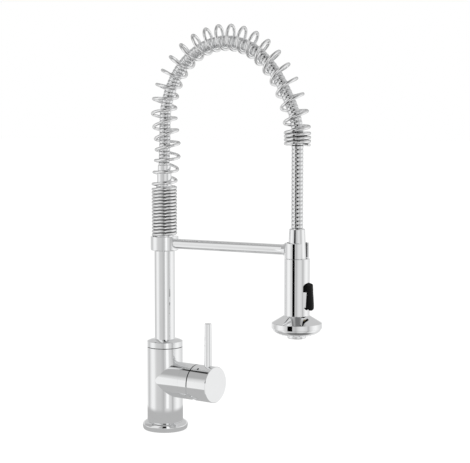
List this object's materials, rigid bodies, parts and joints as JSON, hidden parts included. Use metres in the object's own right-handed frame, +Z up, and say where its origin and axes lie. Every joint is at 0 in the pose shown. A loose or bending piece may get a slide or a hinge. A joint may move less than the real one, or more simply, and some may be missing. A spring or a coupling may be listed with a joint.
{
  "type": "pre rinse faucet",
  "caption": "Spring-neck kitchen faucet with a side lever, a swivelling column and arm, and a spray head hung in an open dock ring.",
  "frame": {"origin": "centre of the face that sits on the deck", "axes": "+Z up along the column, +X along the arm to the spray head, the lever side is turned 5 degrees from +X towards -Y"},
  "size_m": [0.2674, 0.065, 0.5477],
  "materials": {
    "chrome": "polished chrome plate",
    "brass": "plain turned brass",
    "steel": "stainless steel",
    "spring_steel": "bright plated spring wire",
    "rubber": "black seal rubber",
    "nozzle_rubber": "soft silicone rubber",
    "plastic": "moulded plastic",
    "black_plastic": "moulded black plastic",
    "grey_plastic": "moulded grey plastic",
    "ceramic": "lapped ceramic",
    "hose": "ribbed metal hose"
  },
  "bodies": {
    "base": {"deck_flange": "chrome", "deck_seal": "rubber", "valve_body": "chrome", "swivel_bush": "plastic", "thrust_washer": "rubber", "retaining_screw": "steel", "cartridge_seals": "rubber", "cartridge_base": "plastic", "fixed_disc": "ceramic", "cartridge_body": "plastic", "cartridge_nut": "brass"},
    "spout": {"column": "chrome", "column_o_rings": "rubber", "swivel_collar": "chrome", "arm_collar": "chrome", "collar_screw": "steel", "hose_adapter": "chrome", "adapter_o_ring": "rubber", "lower_ferrule": "chrome", "arm": "chrome", "dock_ring": "chrome", "dock_liner": "grey_plastic", "support_spring": "spring_steel", "spring_guide": "black_plastic", "hose": "hose"},
    "hose_end": {"neck": "chrome", "upper_ferrule": "steel", "neck_o_ring": "rubber", "neck_clip": "steel"},
    "head": {"head_body": "chrome", "inlet_filter": "steel", "check_valve": "plastic", "diverter_body": "plastic", "bell": "chrome", "bell_o_ring": "rubber", "spray_plate": "chrome", "spray_nozzles": "nozzle_rubber", "aerator_ring": "chrome", "aerator_insert": "plastic", "rocker_pin": "steel", "rocker_springs": "steel"},
    "rocker": {"rocker": "black_plastic"},
    "plunger": {"plunger": "brass"},
    "turning": {"turn_carrier": "plastic", "pivot_pin": "steel", "trim_dome": "chrome", "turn_sleeve": "chrome"},
    "disc": {"moving_disc": "ceramic", "disc_carrier": "plastic"},
    "handle": {"stem": "brass", "handle_hub": "brass", "lever_cap": "chrome", "lever_rod": "chrome", "cap_set_screw": "steel"}
  },
  "joints": [
    {"name": "spout_swivel", "type": "hinge", "parent": "base", "child": "spout", "pos_m": [0, 0, 0.1143], "axis": [0, 0, 1], "continuous": true},
    {"name": "head_undock", "type": "slide", "parent": "spout", "child": "hose_end", "axis": [0, 0, -1], "range_m": [0, 0.038], "deforming": ["hose"]},
    {"name": "head_swivel", "type": "hinge", "parent": "hose_end", "child": "head", "pos_m": [0.204, 0, 0.2459], "axis": [0, 0, 1], "continuous": true},
    {"name": "rocker_press", "type": "hinge", "parent": "head", "child": "rocker", "pos_m": [0.2165, 0, 0.2106], "axis": [0, 1, 0], "range_deg": [0, 3.8], "stiffness_Nm_per_rad": 1, "springref_deg": -3.44, "deforming": ["rocker_springs"]},
    {"name": "plunger_slide", "type": "slide", "parent": "head", "child": "plunger", "axis": [-1, 0, 0], "range_m": [0, 0.0015]},
    {"name": "temperature_turn", "type": "hinge", "parent": "base", "child": "turning", "pos_m": [0, 0, 0.0706], "axis": [0.9962, -0.0872, 0], "range_deg": [-45, 45]},
    {"name": "flow_tilt", "type": "hinge", "parent": "turning", "child": "handle", "pos_m": [0.05419, -0.00474, 0.0706], "axis": [0.0872, 0.9962, 0], "range_deg": [0, 22]},
    {"name": "disc_slide", "type": "slide", "parent": "turning", "child": "disc", "axis": [0, 0, 1], "range_m": [0, 0.0066]}
  ],
  "couplings": [
    {"joint": "plunger_slide", "follows": "rocker_press", "m_per_rad": 0.0223},
    {"joint": "disc_slide", "follows": "flow_tilt", "m_per_rad": 0.01676}
  ]
}
